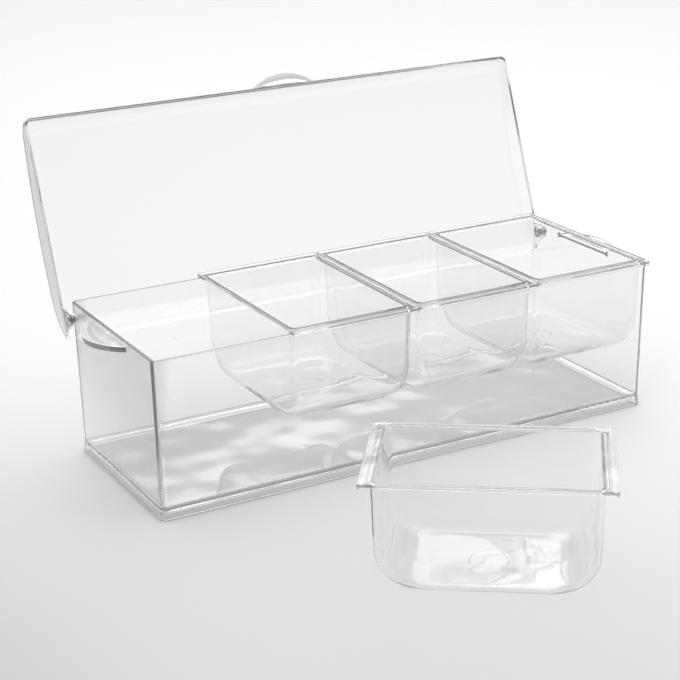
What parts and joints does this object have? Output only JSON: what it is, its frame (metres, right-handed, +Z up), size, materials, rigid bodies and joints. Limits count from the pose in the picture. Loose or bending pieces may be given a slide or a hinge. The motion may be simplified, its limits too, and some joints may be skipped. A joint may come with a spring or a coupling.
{
  "type": "condiment caddy",
  "caption": "Clear plastic condiment caddy: a deep ice tray with end handles, a hinged lid standing open and lift-out food bins.",
  "frame": {"origin": "middle of the tray's underside, on the surface that the tray stands on", "axes": "X along the tray to the right, Y to the hinge side, Z up"},
  "size_m": [0.434, 0.4521, 0.2448],
  "materials": {
    "clear_plastic": "glossy, clear"
  },
  "bodies": {
    "tray": {"tray": "clear_plastic"},
    "lid": {"lid": "clear_plastic"},
    "bin_1": {"bin_1": "clear_plastic"},
    "bin_2": {"bin_2": "clear_plastic"},
    "bin_3": {"bin_3": "clear_plastic"},
    "bin_4": {"bin_4": "clear_plastic"}
  },
  "joints": [
    {"name": "lid_hinge", "type": "hinge", "parent": "tray", "child": "lid", "pos_m": [0, 0.0655, 0.1032], "axis": [-1, 0, 0], "range_deg": [-110.4, 0]},
    {"name": "bin_1_lift", "type": "slide", "parent": "tray", "child": "bin_1", "axis": [0, 0, 1], "range_m": [0, 0.08]},
    {"name": "bin_2_lift", "type": "slide", "parent": "tray", "child": "bin_2", "axis": [0, 0, 1], "range_m": [0, 0.08]},
    {"name": "bin_3_lift", "type": "slide", "parent": "tray", "child": "bin_3", "axis": [0, 0, 1], "range_m": [0, 0.08]},
    {"name": "bin_4_lift", "type": "slide", "parent": "tray", "child": "bin_4", "axis": [0, 0, 1], "range_m": [0, 0.08]}
  ]
}
